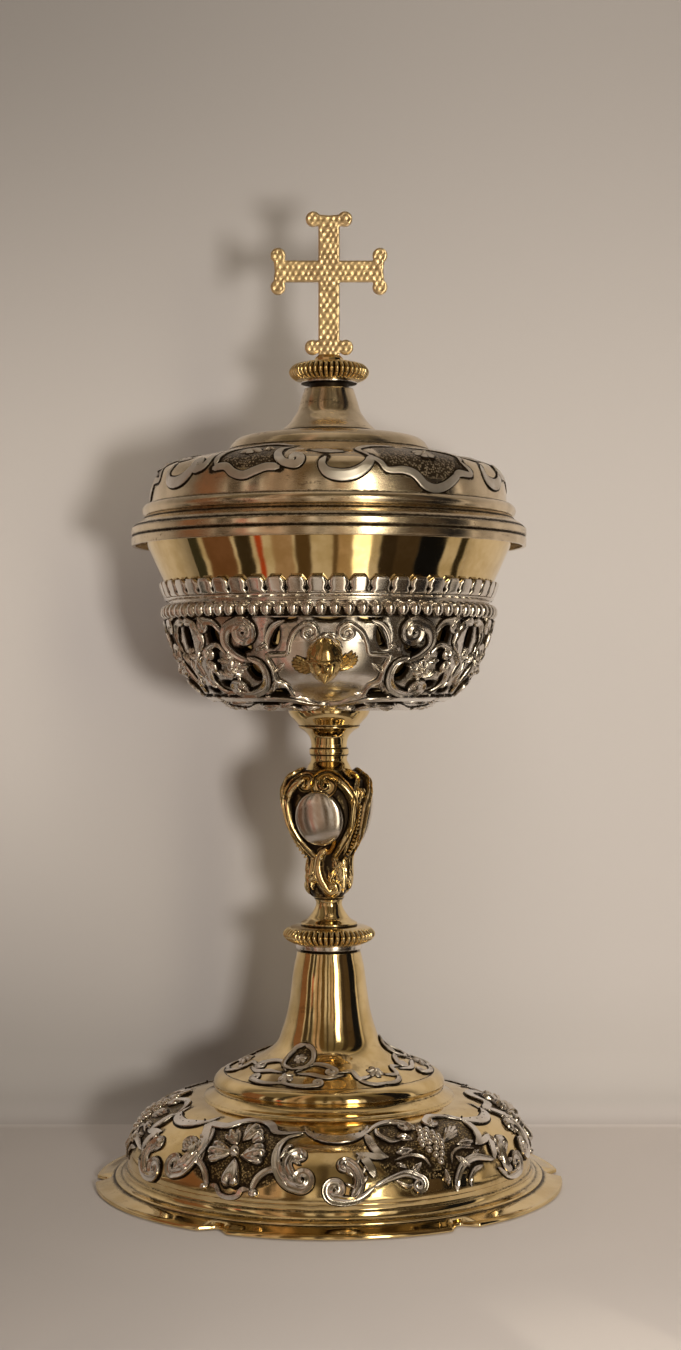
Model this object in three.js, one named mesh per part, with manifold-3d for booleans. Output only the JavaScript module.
// A covered cup on a tall stem, with a pierced basket round the cup and a lift-off lid.
// Millimetres, +Z up, the foot's underside on z = 0 and the stem on the Z axis.
// Azimuths are degrees from the front (-Y), growing towards +X.
import * as THREE from "three";
import { mergeVertices } from "three/addons/utils/BufferGeometryUtils.js";
import Module from "manifold-3d";

const wasm = await Module();
wasm.setup();

// Walls and fits shared by all pieces
const sheet = 1.2;             // wall of a raised shell
const meshTolerance = 0.04;    // within which the faces of a joined solid are merged
const reliefSink = 0.9;        // of chased relief into the wall that carries it
const seatGap = 0.3;           // between a piece and the seat that it is let into
const boreGap = 0.3;           // round the rod and the stud
const columnsLarge = 24;       // facets round the foot, cup and lid
const columnsMiddle = 20;      // facets round the cone and the lid's crown
const columnsSmall = 15;       // facets round the stem
const columnsFine = 10;        // facets round washers, nuts and rods

// Foot
const footRadius = 76.8;
const flangeThickness = 1.2;
const flangeWidth = 11.6;
const notchCount = 6;
const notchAzimuth = -27;
const notchWidth = 10.5;
const notchDepth = 2.5;
const flangeLedge = 6.5;
const stepHeight = 6.8;
const stepLedge = 4.0;
const domeSpread = 24.7;
const domeHeight = 19.8;
const shoulderWidth = 6.8;
const shoulderHeight = 8.4;
const coneHeight = 39.4;
const coneTopRadius = 10.45;
const coneTopWall = 2.4;
const footReliefRise = 1.2;    // of the scrolls and flowers on the dome
const footReliefWidth = 3.2;
const footFlowerWidth = 13.0;

// Stem
const rodRadius = 2.2;
const rodTail = 4.0;
const washerThickness = 1.2;
const footNutAcross = 9.0;
const footNutHeight = 4.0;
const spacerSeatRadius = 9.4;
const spacerSeatHeight = 0.9;
const spacerRadius = 11.0;
const spacerHeight = 2.4;
const lowerCollarRadius = 15.3;
const lowerCollarHeight = 6.0;
const lowerGadroons = 48;
const gadroonDepth = 0.8;
const lowerNeckRadius = 9.4;
const lowerNeckWaist = 4.3;
const lowerNeckHeight = 9.6;
const knopHeight = 41.3;
const knopAzimuth = -17;
const knopRadius = 15.6;
const knopFlat = 1.4;
const knopSides = 3;
const scrollDepth = 2.6;       // of the scrolls down the knop's corners
const scrollWidth = 4.0;
const bossWidth = 15.6;
const bossHeight = 17.4;
const bossRise = 2.6;
const bossLevel = 26.2;
const bossTilt = 13;
const upperNeckHeight = 14.9;
const upperNeckRadius = 10.0;
const calyxRadius = 13.5;
const calyxHeight = 5.7;

// Cup and basket
const cupHeight = 53.8;
const cupRimRadius = 61.0;
const cupFloorRadius = 27.0;
const bossDiscRadius = 12.0;
const basketGap = 0.8;
const basketWall = 1.4;
const basketHeight = 26.8;     // over the cup's floor
const basketSectors = 3;
const basketReliefRise = 1.1;  // of the frames and scrolls on the basket's wall
const basketReliefWidth = 2.2;
const bandHeight = 7.2;
const bandGap = 0.5;
const bandWall = 1.6;
const pearlCount = 78;
const pearlRise = 2.1;         // over the band, on a pearl
const pearlGap = 0.7;          // over the band, between two pearls
const pearlLevel = 2.8;
const crestHeight = 5.3;
const crestWall = 1.0;
const crestPetals = 52;
const crestNotch = 2.9;
const cherubHeadWidth = 11.0;
const cherubHeadHeight = 13.5;
const cherubHeadDepth = 7.0;
const cherubSpan = 21.5;
const cherubPlace = 64;        // up the basket's wall, in hundredths of its length
const wingThickness = 1.4;
const wingWidth = 10.0;
const cherubSeat = 0.6;        // from the basket's wall to the back of the wings

// Lid
const lidOverhang = 4.1;
const skirtDrop = 2.6;
const rimHeight = 6.5;         // from the cup's lip to the foot of the dome
const rimInset = 4.1;
const bezelDepth = 8.0;
const bezelGap = 0.4;
const lidDomeHeight = 22.6;
const lidDomeTopRadius = 33.2;
const lidReliefRise = 0.8;     // of the bands and shells on the dome
const lidReliefWidth = 3.0;
const lidShellWidth = 8.0;
const crownHeight = 20.7;
const crownTopRadius = 8.1;
const crownTopWall = 1.5;
const lidRingRadius = 9.3;
const lidRingSeatRadius = 6.4;
const lidRingSeatHeight = 1.6;
const lidRingHeight = 2.3;
const lidCollarRadius = 13.3;
const lidCollarHeight = 6.2;
const lidGadroons = 44;
const seatRadius = 5.2;
const seatHeight = 2.9;
const lidMoulding = 4.5;
const tangDepth = 1.3;
const tangWidth = 5.0;
const studRadius = 1.6;
const studTail = 1.6;
const lidNutAcross = 6.0;
const lidNutHeight = 3.0;
const crossHeight = 48.6;
const crossWidth = 38.6;
const crossTopArm = 19.8;
const crossBarWidth = 7.1;
const crossEndWidth = 15.4;
const crossFootWidth = 16.0;
const crossLobe = 2.4;
const crossThickness = 2.0;

const gilt = new THREE.MeshStandardMaterial({ color: 0xc79a45, roughness: 0.22, metalness: 1 });
const paleGilt = new THREE.MeshStandardMaterial({ color: 0xcdb177, roughness: 0.32, metalness: 1 });
const silver = new THREE.MeshStandardMaterial({ color: 0xb9b3a6, roughness: 0.28, metalness: 1 });
const steel = new THREE.MeshStandardMaterial({ color: 0x77767a, roughness: 0.45, metalness: 1 });

const radians = (degrees) => (degrees * Math.PI) / 180;

// Outlines are lists of [radius, height].
function spline(points, steps) {
  const curve = new THREE.SplineCurve(points.map(([r, z]) => new THREE.Vector2(r, z)));
  return curve.getPoints(steps).map((p) => [p.x, p.y]);
}

// A quarter of an ellipse from [r0, z0], where it rises straight up, to [r1, z1].
function quarter([r0, z0], [r1, z1], steps) {
  return Array.from({ length: steps + 1 }, (_, i) => {
    const turn = ((i / steps) * Math.PI) / 2;
    return [r1 + (r0 - r1) * Math.cos(turn), z0 + (z1 - z0) * Math.sin(turn)];
  });
}

// Radius of an outline at a given height.
function radiusAt(outline, height) {
  let i = outline.findIndex(([, z], k) => k < outline.length - 1 && outline[k + 1][1] >= height);
  if (i < 0) i = outline.length - 2;
  const [[r0, z0], [r1, z1]] = [outline[i], outline[i + 1]];
  return r0 + ((r1 - r0) * (height - z0)) / (z1 - z0);
}

function span(outline, i) {
  const [[r0, z0], [r1, z1]] = [outline[i], outline[i + 1]];
  return Math.hypot(r1 - r0, z1 - z0);
}

const lengthOf = (outline) => outline.slice(1).reduce((sum, _, i) => sum + span(outline, i), 0);

// A frame on a turned wall: across, up the wall and out of it. The place is in degrees and in
// hundredths of the wall's length.
function wallFrame(outline, azimuth, place, lift) {
  let i = 0;
  let left = (place / 100) * lengthOf(outline);
  while (i < outline.length - 2 && left > span(outline, i)) left -= span(outline, i++);
  const [[r0, z0], [r1, z1]] = [outline[i], outline[i + 1]];
  const run = span(outline, i);
  const a = radians(azimuth);
  const out = new THREE.Vector3(Math.sin(a), -Math.cos(a), 0);
  const normal = out.clone().multiplyScalar((z1 - z0) / run).setZ((r0 - r1) / run);
  const across = new THREE.Vector3(Math.cos(a), Math.sin(a), 0);
  const up = new THREE.Vector3().crossVectors(normal, across);
  const point = out.multiplyScalar(r0 + ((r1 - r0) * left) / run).setZ(z0 + ((z1 - z0) * left) / run);
  return new THREE.Matrix4().makeBasis(across, up, normal).setPosition(point.addScaledVector(normal, lift));
}

// The outline moved along its normals: outwards when the distance is positive.
function offset(outline, distance) {
  return outline.map(([r, z], i) => {
    const before = outline[Math.max(i - 1, 0)];
    const after = outline[Math.min(i + 1, outline.length - 1)];
    const run = Math.hypot(after[0] - before[0], after[1] - before[1]);
    const nr = (after[1] - before[1]) / run;
    const nz = (before[0] - after[0]) / run;
    return [Math.max(r + nr * distance, 0), z + nz * distance];
  });
}

const back = (outline) => [...outline].reverse();

// Every second point of an outline, for a wall that nobody sees.
const thinned = (outline) => outline.filter((_, i) => i % 2 === 0);

// A turned piece: the outline runs up the outside, back down the inside, and closes.
function turned(outline, columns) {
  const closed = [...outline, outline[0]].map(([r, z]) => new THREE.Vector2(r, z));
  return new THREE.LatheGeometry(closed, columns).rotateX(Math.PI / 2);
}

// A turned piece whose outline changes with the azimuth, given in turns from 0 to 1.
function shaped(columns, outlineAt) {
  const positions = [];
  const index = [];
  const rows = outlineAt(0).length;
  for (let c = 0; c < columns; c++) {
    const azimuth = (c / columns) * 2 * Math.PI;
    for (const [r, z] of outlineAt(c / columns)) {
      positions.push(r * Math.sin(azimuth), -r * Math.cos(azimuth), z);
    }
    for (let j = 0; j < rows; j++) {
      const next = ((c + 1) % columns) * rows;
      const up = (j + 1) % rows;
      index.push(c * rows + j, next + j, next + up, c * rows + j, next + up, c * rows + up);
    }
  }
  const geometry = new THREE.BufferGeometry();
  geometry.setAttribute("position", new THREE.Float32BufferAttribute(positions, 3));
  geometry.setIndex(index);
  return geometry;
}

function solid(geometry) {
  const bare = geometry.clone();
  bare.deleteAttribute("normal");
  bare.deleteAttribute("uv");
  const merged = mergeVertices(bare, 1e-4);
  const vertProperties = new Float32Array(merged.attributes.position.array);
  const triVerts = new Uint32Array(merged.index.array);
  return new wasm.Manifold(new wasm.Mesh({ numProp: 3, vertProperties, triVerts }));
}

function geometryOf(manifold) {
  const mesh = manifold.asOriginal().simplify(meshTolerance).getMesh();
  const geometry = new THREE.BufferGeometry();
  geometry.setAttribute("position", new THREE.Float32BufferAttribute(mesh.vertProperties, 3));
  geometry.setIndex([...mesh.triVerts]);
  return geometry;
}

// A bar of relief with a three-cornered section that stands square to its path on a turned wall.
function reliefBar(outline, points, azimuth, hand, rise, width) {
  const steps = points.length - 1;
  const frames = spline(points, steps).map(([degrees, place]) =>
    wallFrame(outline, azimuth + hand * degrees, place, 0));
  const spots = frames.map((frame) => new THREE.Vector3().setFromMatrixPosition(frame));
  const positions = [];
  const index = [];
  frames.forEach((frame, i) => {
    const normal = new THREE.Vector3().setFromMatrixColumn(frame, 2);
    const ahead = spots[Math.min(i + 1, steps)].clone().sub(spots[Math.max(i - 1, 0)]);
    const side = new THREE.Vector3().crossVectors(normal, ahead).setLength(width / 2);
    const base = spots[i].clone().addScaledVector(normal, -reliefSink);
    const top = spots[i].clone().addScaledVector(normal, rise);
    positions.push(...top, ...base.clone().add(side), ...base.clone().sub(side));
    for (let k = 0; i < steps && k < 3; k++) {
      const [a, b] = [3 * i + k, 3 * i + ((k + 1) % 3)];
      index.push(a, a + 3, b, b, a + 3, b + 3);
    }
  });
  const end = 3 * steps;
  index.push(0, 1, 2, end, end + 2, end + 1);
  const geometry = new THREE.BufferGeometry();
  geometry.setAttribute("position", new THREE.Float32BufferAttribute(positions, 3));
  geometry.setIndex(index);
  return solid(geometry);
}

// A low oval boss on a turned wall, for a flower, a cluster or a shell.
function reliefBoss(outline, azimuth, place, rise, width, height) {
  const boss = new THREE.SphereGeometry(1, 6, 4).rotateX(Math.PI / 2).scale(width / 2, height / 2, rise);
  return solid(boss.applyMatrix4(wallFrame(outline, azimuth, place, 0)));
}

function piece(name, geometry, material, level = 0) {
  const mesh = new THREE.Mesh(geometry, material);
  mesh.name = name;
  mesh.position.z = level;
  return mesh;
}

function nut(across, height, bore) {
  const corner = across / Math.sqrt(3);
  const outline = new THREE.Shape();
  outline.setFromPoints(Array.from({ length: 6 }, (_, i) => new THREE.Vector2(
    corner * Math.cos(radians(60 * i)), corner * Math.sin(radians(60 * i)))));
  outline.holes.push(new THREE.Path().absarc(0, 0, bore, 0, 2 * Math.PI, true));
  const settings = { depth: height, bevelEnabled: false, curveSegments: columnsFine / 2 };
  return new THREE.ExtrudeGeometry(outline, settings);
}

const washer = (radius, bore, height) => turned(
  [[bore, 0], [radius, 0], [radius, height], [bore, height]], columnsFine);

// Levels up the stack, each from the piece below
const stepLevel = flangeThickness;
const domeLevel = stepLevel + stepHeight;
const shoulderLevel = domeLevel + domeHeight;
const coneLevel = shoulderLevel + shoulderHeight;
const spacerLevel = coneLevel + coneHeight;
const lowerCollarLevel = spacerLevel + spacerHeight;
const lowerNeckLevel = lowerCollarLevel + lowerCollarHeight;
const knopLevel = lowerNeckLevel + lowerNeckHeight;
const upperNeckLevel = knopLevel + knopHeight;
const calyxLevel = upperNeckLevel + upperNeckHeight;
const basketLevel = calyxLevel + calyxHeight;
const cupLevel = basketLevel + basketWall + basketGap;
const rimLevel = cupLevel + cupHeight;
const lidDomeLevel = rimLevel + rimHeight;
const crownLevel = lidDomeLevel + lidDomeHeight;
const lidRingLevel = crownLevel + crownHeight;
const lidCollarLevel = lidRingLevel + lidRingHeight;
const seatLevel = lidCollarLevel + lidCollarHeight;
const crossLevel = seatLevel + seatHeight - tangDepth;

const rodBore = rodRadius + boreGap;
const studBore = studRadius + boreGap;
const stepRadius = footRadius - flangeLedge;
const domeRadius = stepRadius - stepLedge;
const shoulderRadius = domeRadius - domeSpread;
const coneRadius = shoulderRadius - shoulderWidth;

// The flat base ring, with a bracket notch at each of six places on its edge.
function footFlange() {
  const pitch = 360 / notchCount;
  const half = notchWidth / 2 / radians(footRadius);
  const notch = [[-1, 0], [-0.62, 0.5], [-0.22, 0.62], [0, 1], [0.22, 0.62], [0.62, 0.5], [1, 0]];
  const edge = [];
  const add = (azimuth, radius) => edge.push(new THREE.Vector2(
    radius * Math.sin(radians(azimuth)), -radius * Math.cos(radians(azimuth))));
  for (let k = 0; k < notchCount; k++) {
    const centre = notchAzimuth + pitch * k;
    for (const [side, depth] of notch) add(centre + side * half, footRadius - depth * notchDepth);
    const arcSteps = 7;
    for (let i = 1; i < arcSteps; i++) add(centre + half + ((pitch - 2 * half) * i) / arcSteps, footRadius);
  }
  const outline = new THREE.Shape(edge);
  outline.holes.push(new THREE.Path().absarc(0, 0, footRadius - flangeWidth, 0, 2 * Math.PI, true));
  const settings = { depth: flangeThickness, bevelEnabled: false, curveSegments: columnsLarge / 2 };
  return new THREE.ExtrudeGeometry(outline, settings);
}

function footStep() {
  return turned([
    [footRadius - flangeWidth, 0],
    [stepRadius, 0],
    [stepRadius, 0.26 * stepHeight],
    [stepRadius - 0.7 * stepLedge, 0.41 * stepHeight],
    [domeRadius, 0.56 * stepHeight],
    [domeRadius, stepHeight],
    [domeRadius - 2 * sheet, stepHeight],
  ], columnsLarge);
}

// Chased bands, as points of [degrees, hundredths of the wall's length]. Three cartouches hold a
// flower, three a cluster, and a crescent stands between each two.
const flowerAzimuth = -27;
const clusterAzimuth = 33;
const crescentAzimuth = 3;
const flowerPlace = 44;
const clusterPlace = 48;
const shellPlace = 46;
const cartouches = 3;
const quarterPitch = 360 / cartouches / 4;
const footScroll = [[18.6, 68], [12.8, 55], [12.8, 32], [17.4, 12], [22.3, 18], [21.4, 27]];
const footBracket = [[0, 86], [6.4, 81], [9, 70], [18.8, 70]];
const footClusterScroll = [[19, 21], [23, 11], [28, 9], [33.4, 13]];
const footUpperScroll = [[21, 60], [17, 77], [5.6, 80]];
const footCrescent = [[-11.6, 81], [-5.4, 63], [5.4, 63], [11.6, 81]];

// The raised dome, then a hollow and a half-round moulding up to the land under the cone.
function footDome() {
  const dome = quarter([domeRadius, 0], [shoulderRadius, domeHeight], 6);
  const bar = (points, azimuth, hand) =>
    reliefBar(dome, points, azimuth, hand, footReliefRise, footReliefWidth);
  const boss = (azimuth, place, width) =>
    reliefBoss(dome, azimuth, place, footReliefRise, width, footFlowerWidth);
  const inner = quarter([domeRadius - sheet, 0], [shoulderRadius - sheet, domeHeight - sheet], 3);
  const top = domeHeight + shoulderHeight;
  const hollow = shoulderRadius - 0.64 * shoulderWidth;
  let body = solid(turned([
    ...dome,
    [hollow, domeHeight + 0.36 * shoulderHeight],
    [hollow + 0.09 * shoulderWidth, domeHeight + 0.55 * shoulderHeight],
    [hollow - 0.02 * shoulderWidth, domeHeight + 0.78 * shoulderHeight],
    [coneRadius, top],
    [coneRadius - 2.5 * sheet, top],
    [hollow - 2 * sheet, top - sheet],
    [hollow - sheet, domeHeight],
    ...back(inner),
  ], columnsLarge));
  for (let k = 0; k < cartouches; k++) {
    const turn = (360 / cartouches) * k;
    for (const hand of [-1, 1]) {
      body = body.add(bar(footScroll, flowerAzimuth + turn, hand));
      body = body.add(bar(footBracket, flowerAzimuth + turn, hand));
      body = body.add(bar(footClusterScroll, clusterAzimuth + turn, hand));
      body = body.add(bar(footUpperScroll, clusterAzimuth + turn, hand));
      body = body.add(bar(footCrescent, crescentAzimuth + turn + hand * quarterPitch, hand));
    }
    body = body.add(boss(flowerAzimuth + turn, flowerPlace, footFlowerWidth));
    body = body.add(boss(clusterAzimuth + turn, clusterPlace, 1.5 * footFlowerWidth));
  }
  return geometryOf(body);
}

// The trumpet: a flare that steepens into a long taper, closed at the top round the rod.
function footCone() {
  const flare = (r) => coneTopRadius + (coneRadius - coneTopRadius) * r;
  const outer = spline([
    [coneRadius, 0], [flare(0.63), 0.105 * coneHeight], [flare(0.285), 0.23 * coneHeight],
    [flare(0.13), 0.5 * coneHeight], [flare(0.05), 0.86 * coneHeight], [coneTopRadius, coneHeight],
  ], 8);
  const inner = offset(outer, -sheet).slice(1, -1);
  return turned([
    ...outer,
    [rodBore, coneHeight],
    [rodBore, coneHeight - coneTopWall],
    [coneTopRadius - sheet, coneHeight - coneTopWall],
    ...back(thinned(inner).filter(([, z]) => z < coneHeight - coneTopWall)),
    [coneRadius - 2.5 * sheet, 0],
  ], columnsMiddle);
}

// A thin flange on a narrower seat, which leaves the dark line over the piece below.
const steppedRing = (bore, seat, seatHeightHere, radius, height) => turned([
  [bore, 0], [seat, 0], [seat, seatHeightHere], [radius, seatHeightHere],
  [radius, height], [bore, height],
], columnsSmall);

// A collar of upright lobes: every second column stands in the groove between two lobes.
function gadroonCollar(radius, height, bore, lobes) {
  const land = 0.71 * radius;
  return shaped(2 * lobes, (turn) => {
    const groove = Math.round(turn * 2 * lobes) % 2 ? gadroonDepth : 0;
    return [[bore, 0], [land, 0], [radius - groove, height / 2], [land, height], [bore, height]];
  });
}

function lowerNeck() {
  const h = lowerNeckHeight;
  const outer = spline([
    [lowerNeckRadius, 0.1 * h], [0.77 * lowerNeckRadius, 0.24 * h], [1.16 * lowerNeckWaist, 0.56 * h],
    [lowerNeckWaist, 0.75 * h], [1.2 * lowerNeckWaist, h],
  ], 5);
  return turned([[rodBore, 0], [lowerNeckRadius, 0], ...outer, [rodBore, h]], columnsSmall);
}

// The knop swells upwards on three sides. Scrolls run down its corners, and each side
// has an oval seat for a boss.
const knopShares = [
  [0.33, 0], [0.5, 0.09], [0.5, 0.3], [0.66, 0.4], [0.82, 0.53], [0.97, 0.82], [0.92, 0.94], [0.5, 1],
];

function knopOutline(turn) {
  const swing = Math.cos(knopSides * (turn * 2 * Math.PI - radians(knopAzimuth)));
  const body = knopShares.map(([r, z]) => [
    knopRadius * r - knopFlat * Math.max(r - 0.45, 0) * 2 * swing, knopHeight * z]);
  return [...body, [rodBore, knopHeight], [rodBore, 0]];
}

// The frame of a boss: its centre on the side of the knop, facing out and up a little.
function bossFrame(side) {
  const azimuth = radians(knopAzimuth + (360 / knopSides) * side);
  const tilt = radians(bossTilt);
  const out = new THREE.Vector3(Math.sin(azimuth), -Math.cos(azimuth), 0);
  const normal = out.clone().multiplyScalar(Math.cos(tilt)).add(new THREE.Vector3(0, 0, -Math.sin(tilt)));
  const across = new THREE.Vector3(Math.cos(azimuth), Math.sin(azimuth), 0);
  const up = new THREE.Vector3().crossVectors(normal, across);
  const turn = (knopAzimuth + (360 / knopSides) * side) / 360;
  const r = radiusAt(knopOutline(turn), bossLevel);
  const centre = out.multiplyScalar(r - sheet).setZ(bossLevel);
  return { frame: new THREE.Matrix4().makeBasis(across, up, normal).setPosition(centre), normal };
}

function knopBody() {
  const corner = (side) => radians(knopAzimuth + (360 / knopSides) * (side + 0.5));
  const seatDepth = 6;
  const section = new THREE.Shape().absellipse(0, 0, scrollDepth / 2, scrollWidth / 2, 0, 2 * Math.PI);
  let body = solid(shaped(columnsMiddle, knopOutline));
  for (let side = 0; side < knopSides; side++) {
    const azimuth = corner(side);
    const path = [
      [0.95, 0.95], [1.06, 0.93], [1.12, 0.86], [1.09, 0.7], [0.96, 0.52],
      [0.72, 0.37], [0.56, 0.25], [0.58, 0.13], [0.66, 0.06],
    ].map(([r, z]) => new THREE.Vector3(
      r * knopRadius * Math.sin(azimuth), -r * knopRadius * Math.cos(azimuth), z * knopHeight));
    const extrudePath = new THREE.CatmullRomCurve3(path);
    const scroll = new THREE.ExtrudeGeometry(section, { extrudePath, steps: 9, curveSegments: 2 });
    body = body.add(solid(scroll));
  }
  for (let side = 0; side < knopSides; side++) {
    const seat = new THREE.CylinderGeometry(1, 1, seatDepth, columnsSmall).rotateX(Math.PI / 2);
    seat.translate(0, 0, seatDepth / 2);
    seat.scale(bossWidth / 2 + seatGap, bossHeight / 2 + seatGap, 1);
    body = body.subtract(solid(seat.applyMatrix4(bossFrame(side).frame)));
  }
  return geometryOf(body);
}

// A low oval dome on a flat back.
function knopBoss(side) {
  const { frame, normal } = bossFrame(side);
  const rim = 0.8;
  const outline = [[0, 0], [1, 0], [1, rim], ...quarter([1, rim], [0, rim + bossRise], 3).slice(1)];
  const boss = new THREE.LatheGeometry(outline.map(([r, z]) => new THREE.Vector2(r, z)), 14);
  boss.rotateX(Math.PI / 2).scale(bossWidth / 2, bossHeight / 2, 1).applyMatrix4(frame);
  return boss.translate(...normal.multiplyScalar(seatGap).toArray());
}

function upperNeck() {
  const h = upperNeckHeight;
  const r = upperNeckRadius;
  return turned([
    [rodBore, 0], [0.78 * r, 0], [0.69 * r, 0.13 * h], [0.6 * r, 0.26 * h], [0.62 * r, 0.35 * h],
    [0.66 * r, 0.37 * h], [0.66 * r, 0.5 * h], [0.6 * r, 0.53 * h], [0.6 * r, 0.62 * h],
    [0.65 * r, 0.76 * h], [0.8 * r, 0.88 * h], [r, 0.97 * h], [r, h], [rodBore, h],
  ], columnsSmall);
}

function calyx() {
  const h = calyxHeight;
  return turned([
    [rodBore, 0], [0.755 * calyxRadius, 0], [0.76 * calyxRadius, 0.1 * h], [0.92 * calyxRadius, 0.52 * h],
    [calyxRadius, 0.86 * h], [calyxRadius, h], [rodBore, h],
  ], columnsSmall);
}

// The cup's outside, from its floor to its lip
const cupOutline = [[0, 0], [bossDiscRadius + sheet, 0], ...spline([
  [0, 0], [0.34, 0.085], [0.556, 0.23], [0.656, 0.41], [0.776, 0.68], [0.894, 0.85], [1, 1],
], 7).map(([r, z]) => [cupFloorRadius + (cupRimRadius - cupFloorRadius) * r, cupHeight * z])];
const cupRadiusAt = (height) => radiusAt(cupOutline, height);

const cupBowl = () => turned([...cupOutline, ...back([
  ...thinned(offset(cupOutline, -sheet).slice(0, -1)), [cupRimRadius - sheet, cupHeight],
])], columnsLarge);

// The basket follows the cup's outside at a small distance, up to the pearl band.
const basketEdge = cupRadiusAt(basketHeight);
const basketLine = (distance) => [
  [cupFloorRadius, -distance],
  ...offset(cupOutline.slice(2).filter(([, z]) => z < basketHeight), distance).slice(1),
  [basketEdge + distance, basketHeight]];
const basketOuter = basketLine(basketGap + basketWall);
const basketInner = back(basketLine(basketGap));

// Openings of one half of a sector: [degrees, hundredths of the wall's length, width and height
// in hundredths of that length, lean]
const openings = [
  [17.5, 90, 14, 16, 10], [30, 56, 11, 16, -15], [46, 84, 12, 20, -8], [46, 46, 13, 10, 5],
  [32, 20, 20, 9, -8], [60, 85, 11, 19, 0],
];

// One half of a cartouche's frame, and the scrolls beside it
const frameHalf = [[0, 86], [8.4, 92], [13.4, 76], [22.8, 71], [18.4, 44], [0, 21]];
const sideScroll = [[24, 86], [36.8, 92], [34, 74], [24.6, 62], [28, 41], [41, 38]];

function basket() {
  const length = lengthOf(basketOuter);
  let body = solid(turned([
    [rodBore, -basketGap - basketWall], ...basketOuter, ...basketInner, [rodBore, -basketGap],
  ], columnsLarge));
  const cutterDepth = 4 * (basketWall + basketGap);
  for (let k = 0; k < basketSectors; k++) {
    const sector = (360 / basketSectors) * k;
    for (const hand of [-1, 1]) {
      for (const [azimuth, place, width, height, lean] of openings) {
        const shared = azimuth * 2 * basketSectors === 360;
        if (shared && hand < 0) continue;
        const cutter = new THREE.CylinderGeometry(1, 1, cutterDepth, 6).rotateX(Math.PI / 2);
        cutter.scale((width * length) / 200, (height * length) / 200, 1).rotateZ(radians(hand * lean));
        cutter.applyMatrix4(wallFrame(basketOuter, sector + hand * azimuth, place, 0));
        body = body.subtract(solid(cutter));
      }
    }
  }
  for (let k = 0; k < basketSectors; k++) {
    const sector = (360 / basketSectors) * k;
    for (const hand of [-1, 1]) {
      for (const points of [frameHalf, sideScroll]) {
        body = body.add(reliefBar(
          basketOuter, points, sector, hand, basketReliefRise, basketReliefWidth));
      }
    }
  }
  return geometryOf(body);
}

// The band of pearls: every second column stands between two pearls.
function pearlBand() {
  const foot = basketEdge + bandGap;
  const top = cupRadiusAt(basketHeight + bandHeight) + bandGap;
  const level = (z) => foot + ((top - foot) * z) / bandHeight;
  return shaped(2 * pearlCount, (turn) => {
    const rise = Math.round(turn * 2 * pearlCount) % 2 ? pearlGap : pearlRise;
    return [
      [level(0), 0], [level(pearlLevel) + bandWall + rise, pearlLevel],
      [top + bandWall, bandHeight], [top, bandHeight],
    ];
  });
}

// The crest: petals side by side, with a notch between two of them.
function crestBand() {
  const level = basketHeight + bandHeight;
  const inner = (z) => cupRadiusAt(level + z) + seatGap;
  return shaped(2 * crestPetals, (turn) => {
    const top = Math.round(turn * 2 * crestPetals) % 2 ? crestHeight : crestHeight - crestNotch;
    return [[inner(0), 0], [inner(0) + crestWall, 0], [inner(top) + crestWall, top], [inner(top), top]];
  });
}

// A winged head, made at the origin with its back on the wall.
function cherub(sector) {
  const tip = cherubSpan / 2;
  const half = wingWidth / 2;
  const wing = new THREE.Shape();
  wing.moveTo(0, -0.6 * half);
  wing.quadraticCurveTo(0.4 * tip, -1.2 * half, 0.86 * tip, -0.7 * half);
  wing.lineTo(0.82 * tip, -0.2 * half);
  wing.lineTo(tip, 0.1 * half);
  wing.lineTo(0.84 * tip, 0.4 * half);
  wing.quadraticCurveTo(0.82 * tip, half, 0.24 * tip, 0.9 * half);
  wing.lineTo(0, 0.4 * half);
  const settings = { depth: wingThickness, bevelEnabled: false, curveSegments: 2 };
  const right = new THREE.ExtrudeGeometry(wing, settings);
  const left = right.clone().rotateY(Math.PI).translate(0, 0, wingThickness);
  const head = new THREE.SphereGeometry(1, 10, 6);
  head.scale(cherubHeadWidth / 2, cherubHeadHeight / 2, cherubHeadDepth / 2);
  head.translate(0, 0, cherubHeadDepth / 4);
  const block = 2 * cherubSpan;
  const underlay = new THREE.BoxGeometry(block, block, block).translate(0, 0, -block / 2);
  const body = solid(right).add(solid(left)).add(solid(head)).subtract(solid(underlay));
  return geometryOf(body).applyMatrix4(wallFrame(basketOuter, sector, cherubPlace, cherubSeat));
}

// The lid, in heights over the cup's lip
const lidRadius = cupRimRadius + lidOverhang;
const bezelOuter = cupRadiusAt(cupHeight - bezelDepth) - sheet - bezelGap;
const bezelInner = bezelOuter - sheet;
const lidDomeRadius = lidRadius - rimInset;

const lidRim = () => turned([
  [bezelInner, 0],
  [lidRadius - sheet, 0],
  [lidRadius - sheet, -skirtDrop],
  [lidRadius, -skirtDrop],
  [lidRadius, 0.52 * rimHeight],
  [lidDomeRadius, rimHeight],
  [lidDomeRadius - 1.5 * sheet, rimHeight],
  [lidRadius - 1.6 * sheet, 0.45 * rimHeight],
  [lidRadius - 1.6 * sheet, sheet],
  [bezelInner, sheet],
], columnsLarge);

const lidBezel = () => turned([
  [bezelInner, -bezelDepth], [bezelOuter, -bezelDepth], [bezelOuter, 0], [bezelInner, 0],
], columnsLarge);

const lidScroll = [[11, 58], [11, 36], [16.2, 24], [19.5, 32]];
const lidBracket = [[-11.4, 23], [0.6, 16], [12.2, 22]];
const lidStar = [[-20, 33], [-14.8, 20], [1, 6], [17.6, 20], [14.8, 32]];
const lidCrescent = [[-4.2, 32], [0.6, 13], [10.8, 34]];

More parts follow.
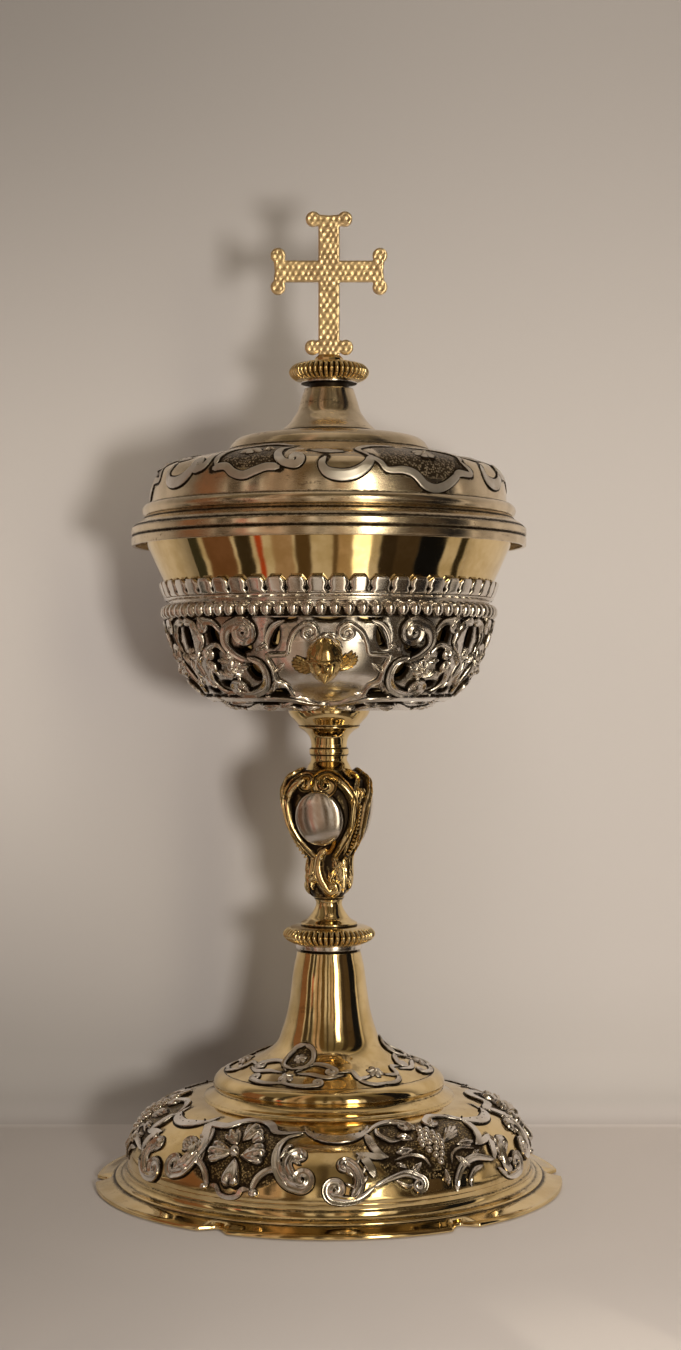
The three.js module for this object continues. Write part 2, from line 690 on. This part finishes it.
// A round moulding, then the dome's steep side turning over to its flat crown.
function lidDome() {
  const h = lidDomeHeight;
  const side = lidDomeRadius - 2.4;
  const share = (s) => lidDomeTopRadius + (side - lidDomeTopRadius) * s;
  const dome = spline([
    [side, lidMoulding], [share(0.99), 0.37 * h], [share(0.945), 0.6 * h], [share(0.82), 0.735 * h],
    [share(0.46), 0.86 * h], [lidDomeTopRadius, h],
  ], 7);
  const bar = (points, azimuth, hand) =>
    reliefBar(dome, points, azimuth, hand, lidReliefRise, lidReliefWidth);
  let body = solid(turned([
    [lidDomeRadius - 1.5 * sheet, 0],
    [lidDomeRadius, 0],
    [lidDomeRadius + 0.6, 0.3 * lidMoulding],
    [lidDomeRadius + 0.3, 0.8 * lidMoulding],
    ...dome,
    [lidDomeTopRadius - 2.5 * sheet, h],
    ...back(offset(dome, -sheet).filter(([r], i) => i % 2 === 0 && r > lidDomeTopRadius)),
    [side - sheet, 0.7 * lidMoulding],
  ], columnsLarge));
  for (let k = 0; k < cartouches; k++) {
    const turn = (360 / cartouches) * k;
    for (const hand of [-1, 1]) {
      body = body.add(bar(lidScroll, flowerAzimuth + turn, hand));
      body = body.add(bar(lidCrescent, crescentAzimuth + turn + hand * quarterPitch, hand));
    }
    body = body.add(bar(lidBracket, flowerAzimuth + turn, 1)).add(bar(lidStar, clusterAzimuth + turn, 1));
    for (const azimuth of [flowerAzimuth + turn, clusterAzimuth + turn]) {
      body = body.add(reliefBoss(dome, azimuth, shellPlace, lidReliefRise, lidShellWidth, lidShellWidth));
    }
  }
  return geometryOf(body);
}

function lidCrown() {
  const h = crownHeight;
  const r = lidDomeTopRadius;
  const step = [
    [r, 0], [0.97 * r, 0.1 * h], [0.9 * r, 0.19 * h], [0.77 * r, 0.245 * h], [0.5 * r, 0.305 * h],
  ];
  const neckShare = (s) => crownTopRadius + (0.45 * r - crownTopRadius) * s;
  const neck = spline([
    [neckShare(1), 0.35 * h], [neckShare(0.5), 0.55 * h], [neckShare(0.16), 0.8 * h], [crownTopRadius, h],
  ], 4);
  const outer = [...step, ...neck];
  const inner = offset(outer, -sheet).slice(1, -1);
  return turned([
    ...outer,
    [studBore, h],
    [studBore, h - crownTopWall],
    [crownTopRadius - sheet, h - crownTopWall],
    ...back(inner.filter(([, z], i) => i % 2 === 0 && z < h - crownTopWall && z > 0)),
    [r - 2.5 * sheet, 0],
  ], columnsMiddle);
}

// A small dome with a slot right across it for the cross's foot.
function crossSeat() {
  const outline = [[studBore, 0], ...quarter([seatRadius, 0], [0.45 * seatRadius, seatHeight], 3),
    [studBore, seatHeight]];
  const slot = new THREE.BoxGeometry(crossFootWidth, crossThickness + 2 * seatGap, 2 * tangDepth);
  slot.translate(0, 0, seatHeight);
  return geometryOf(solid(turned(outline, columnsSmall)).subtract(solid(slot)));
}

// One arm's end in [along, across]: two round lobes with a shallow dip between them.
function armEnd(length, width) {
  const lobeStep = 38;
  const away = width / 2 - crossLobe;
  const lobe = [];
  for (let turn = 205; turn <= 205 + 5 * lobeStep; turn += lobeStep) {
    lobe.push([length - crossLobe + crossLobe * Math.cos(radians(turn)),
      -away + crossLobe * Math.sin(radians(turn))]);
  }
  const neck = [length - 2.9 * crossLobe, -crossBarWidth / 2];
  const half = [[crossBarWidth / 2, -crossBarWidth / 2], neck, ...lobe];
  const mirrored = back(half.slice(1)).map(([along, across]) => [along, -across]);
  return [...half, [length - 0.5 * crossLobe, 0], ...mirrored];
}

// The flat cross stands in the XZ plane, its tang let into the seat.
function cross() {
  const axis = crossHeight - crossTopArm;
  const turnedBy = (points, quarterTurns) => points.map(([x, y]) => {
    const [c, s] = [[1, 0], [0, 1], [-1, 0], [0, -1]][quarterTurns];
    return new THREE.Vector2(c * x - s * y, axis + s * x + c * y);
  });
  const sideEnd = armEnd(crossWidth / 2, crossEndWidth);
  const outline = new THREE.Shape([
    ...turnedBy(sideEnd, 0), ...turnedBy(armEnd(crossTopArm, crossEndWidth), 1),
    ...turnedBy(sideEnd, 2), ...turnedBy(armEnd(axis, crossFootWidth), 3),
  ]);
  const settings = { depth: crossThickness, bevelEnabled: false };
  const plate = new THREE.ExtrudeGeometry(outline, settings).translate(0, 0, -crossThickness / 2);
  const tang = new THREE.BoxGeometry(tangWidth, 2 * crossLobe, crossThickness).translate(0, crossLobe, 0);
  return geometryOf(solid(plate).add(solid(tang))).rotateX(Math.PI / 2);
}

function rod(radius, length) {
  const cylinder = new THREE.CylinderGeometry(radius, radius, length, columnsFine);
  return cylinder.rotateX(Math.PI / 2).translate(0, 0, length / 2);
}

const stand = new THREE.Group();
stand.name = "stand";
const nutTop = spacerLevel - coneTopWall - washerThickness;
const rodFoot = nutTop - footNutHeight - rodTail;
const rodTop = basketLevel + basketWall;
stand.add(
  piece("foot_flange", footFlange(), gilt),
  piece("foot_step", footStep(), gilt, stepLevel),
  piece("foot_dome", footDome(), gilt, domeLevel),
  piece("foot_cone", footCone(), gilt, coneLevel),
  piece("spacer_ring", steppedRing(rodBore, spacerSeatRadius, spacerSeatHeight, spacerRadius, spacerHeight),
    silver, spacerLevel),
  piece("lower_collar", gadroonCollar(lowerCollarRadius, lowerCollarHeight, rodBore, lowerGadroons),
    gilt, lowerCollarLevel),
  piece("lower_neck", lowerNeck(), gilt, lowerNeckLevel),
  piece("knop_body", knopBody(), gilt, knopLevel),
  piece("upper_neck", upperNeck(), gilt, upperNeckLevel),
  piece("calyx", calyx(), gilt, calyxLevel),
  piece("basket", basket(), silver, cupLevel),
  piece("pearl_band", pearlBand(), silver, cupLevel + basketHeight),
  piece("crest_band", crestBand(), silver, cupLevel + basketHeight + bandHeight),
  piece("cup_boss", washer(bossDiscRadius, rodRadius / 2, basketGap), steel, rodTop),
  piece("cup_bowl", cupBowl(), gilt, cupLevel),
  piece("tie_rod", rod(rodRadius, rodTop - rodFoot), steel, rodFoot),
  piece("foot_washer", washer(coneTopRadius - 3 * sheet, rodBore, washerThickness), steel, nutTop),
  piece("foot_nut", nut(footNutAcross, footNutHeight, rodBore), steel, nutTop - footNutHeight),
);
for (let side = 0; side < knopSides; side++) {
  stand.add(piece(`knop_boss_${side + 1}`, knopBoss(side), silver, knopLevel));
}
for (let k = 0; k < basketSectors; k++) {
  stand.add(piece(`cherub_${k + 1}`, cherub((360 / basketSectors) * k), paleGilt, cupLevel));
}

const lid = new THREE.Group();
lid.name = "lid";
lid.position.z = rimLevel;
const overLip = (level) => level - rimLevel;
const lidNutTop = overLip(lidRingLevel) - crownTopWall - washerThickness;
const studFoot = lidNutTop - lidNutHeight - studTail;
lid.add(
  piece("lid_rim", lidRim(), paleGilt),
  piece("lid_bezel", lidBezel(), gilt),
  piece("lid_dome", lidDome(), paleGilt, overLip(lidDomeLevel)),
  piece("lid_crown", lidCrown(), paleGilt, overLip(crownLevel)),
  piece("lid_ring", steppedRing(studBore, lidRingSeatRadius, lidRingSeatHeight, lidRingRadius, lidRingHeight),
    silver, overLip(lidRingLevel)),
  piece("lid_collar", gadroonCollar(lidCollarRadius, lidCollarHeight, studBore, lidGadroons),
    gilt, overLip(lidCollarLevel)),
  piece("cross_seat", crossSeat(), gilt, overLip(seatLevel)),
  piece("cross", cross(), paleGilt, overLip(crossLevel)),
  piece("cross_stud", rod(studRadius, overLip(crossLevel) - studFoot), steel, studFoot),
  piece("lid_washer", washer(0.6 * crownTopRadius, studBore, washerThickness), steel, lidNutTop),
  piece("lid_nut", nut(lidNutAcross, lidNutHeight, studBore), steel, lidNutTop - lidNutHeight),
);

const ciborium = new THREE.Group();
ciborium.name = "ciborium";
ciborium.add(stand, lid);

export default ciborium;
